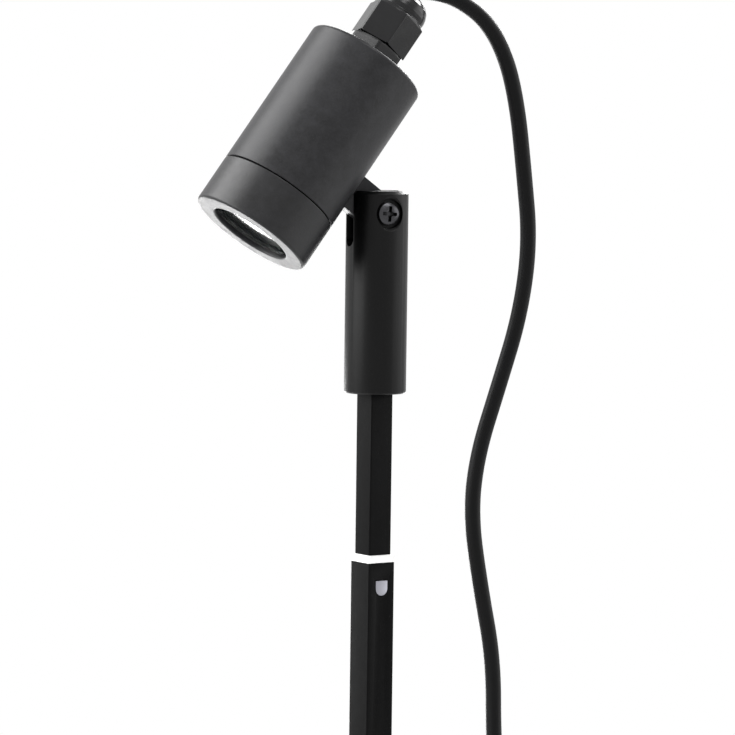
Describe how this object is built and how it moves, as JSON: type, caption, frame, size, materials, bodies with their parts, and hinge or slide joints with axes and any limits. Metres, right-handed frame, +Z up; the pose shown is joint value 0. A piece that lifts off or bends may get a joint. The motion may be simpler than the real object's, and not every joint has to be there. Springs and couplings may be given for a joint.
{
  "type": "garden spike spotlight",
  "caption": "Tilting cylindrical spotlight on a slotted round stem and square two-piece ground spike, with cable gland, rubber lead and earthed plug.",
  "frame": {"origin": "the tip of the ground spike, on the spike's axis", "axes": "+Z up along the pole and stem, -X the way the lamp head points, +Y square to the hinge slot"},
  "size_m": [0.2699, 0.1145, 0.5706],
  "materials": {
    "head_coat": "fine matt powder coat, anthracite",
    "stem_coat": "satin powder coat, near black",
    "pole_coat": "satin black coat",
    "white_nylon": "smooth moulded nylon",
    "button_steel": "satin",
    "spring_steel": "bright",
    "dark_screw": "dark zinc",
    "bright_screw": "zinc plated",
    "clear_glass": "clear, slightly dark",
    "lamp_cover": "lightly frosted",
    "silicone": "translucent grey",
    "black_rubber": "matt",
    "cable_rubber": "smooth rubber sheath",
    "gland_nylon": "glossy moulded nylon",
    "gland_claw": "moulded nylon",
    "lamp_shell": "white moulded shell",
    "ceramic": "unglazed",
    "zinc_strip": "zinc plated",
    "block_plastic": "moulded",
    "core_brown": "smooth",
    "core_blue": "smooth",
    "core_green_yellow": "smooth",
    "lead_sleeve": "glass-fibre sleeve",
    "pin_brass": "nickel plated"
  },
  "bodies": {
    "pole": {"stem": "stem_coat", "pivot_screw": "dark_screw", "pivot_nut": "dark_screw", "hinge_washers": "white_nylon", "upper_pole": "pole_coat", "bar_insert": "zinc_strip", "pole_stud": "bright_screw", "pole_connector": "white_nylon", "spike_tube": "pole_coat", "spike_point": "pole_coat", "button_spring": "spring_steel", "cable_lower": "cable_rubber", "cable_coil": "cable_rubber", "coil_tie": "black_rubber", "cable_end": "cable_rubber", "plug_body": "black_rubber", "plug_pins": "pin_brass", "plug_earth_contacts": "pin_brass"},
    "head": {"head_housing": "head_coat", "housing_o_ring": "black_rubber", "lamp_body": "lamp_shell", "lamp_cover": "lamp_cover", "lamp_pins": "pin_brass", "lamp_holder": "ceramic", "holder_bracket": "zinc_strip", "holder_screws": "bright_screw", "bracket_screws": "bright_screw", "earth_screw": "bright_screw", "terminal_block": "block_plastic", "core_brown": "core_brown", "core_blue": "core_blue", "core_earth": "core_green_yellow", "holder_leads": "lead_sleeve", "gland_washer": "black_rubber", "gland_body": "gland_nylon", "gland_locknut": "gland_nylon", "gland_nut": "gland_nylon", "gland_claw": "gland_claw", "gland_seal": "black_rubber", "cable_in_gland": "cable_rubber", "hinge_tongue": "head_coat", "tongue_screws": "bright_screw", "cable_upper": "cable_rubber"},
    "glass_pack": {"front_glass": "clear_glass", "glass_gasket": "silicone"},
    "bezel": {"bezel_ring": "head_coat"},
    "snap_button": {"snap_button": "button_steel"}
  },
  "joints": [
    {"name": "head_tilt", "type": "hinge", "parent": "pole", "child": "head", "pos_m": [0, 0, 0.4601], "axis": [0, 1, 0], "range_deg": [-39, 75], "deforming": ["cable_upper"]},
    {"name": "bezel_slide", "type": "slide", "parent": "head", "child": "glass_pack", "axis": [-0.592, 0, -0.8059], "range_m": [0, 0.0101]},
    {"name": "bezel_turn", "type": "hinge", "parent": "glass_pack", "child": "bezel", "pos_m": [-0.03901, 0, 0.48875], "axis": [-0.592, 0, -0.8059], "range_deg": [0, 1800]},
    {"name": "button_press", "type": "slide", "parent": "pole", "child": "snap_button", "axis": [-0.1392, 0.9903, 0], "range_m": [0, 0.002], "stiffness_N_per_m": 1200, "springref_m": -0.002, "deforming": ["button_spring"]}
  ],
  "couplings": [
    {"joint": "bezel_slide", "follows": "bezel_turn", "m_per_rad": 0.00031831}
  ]
}
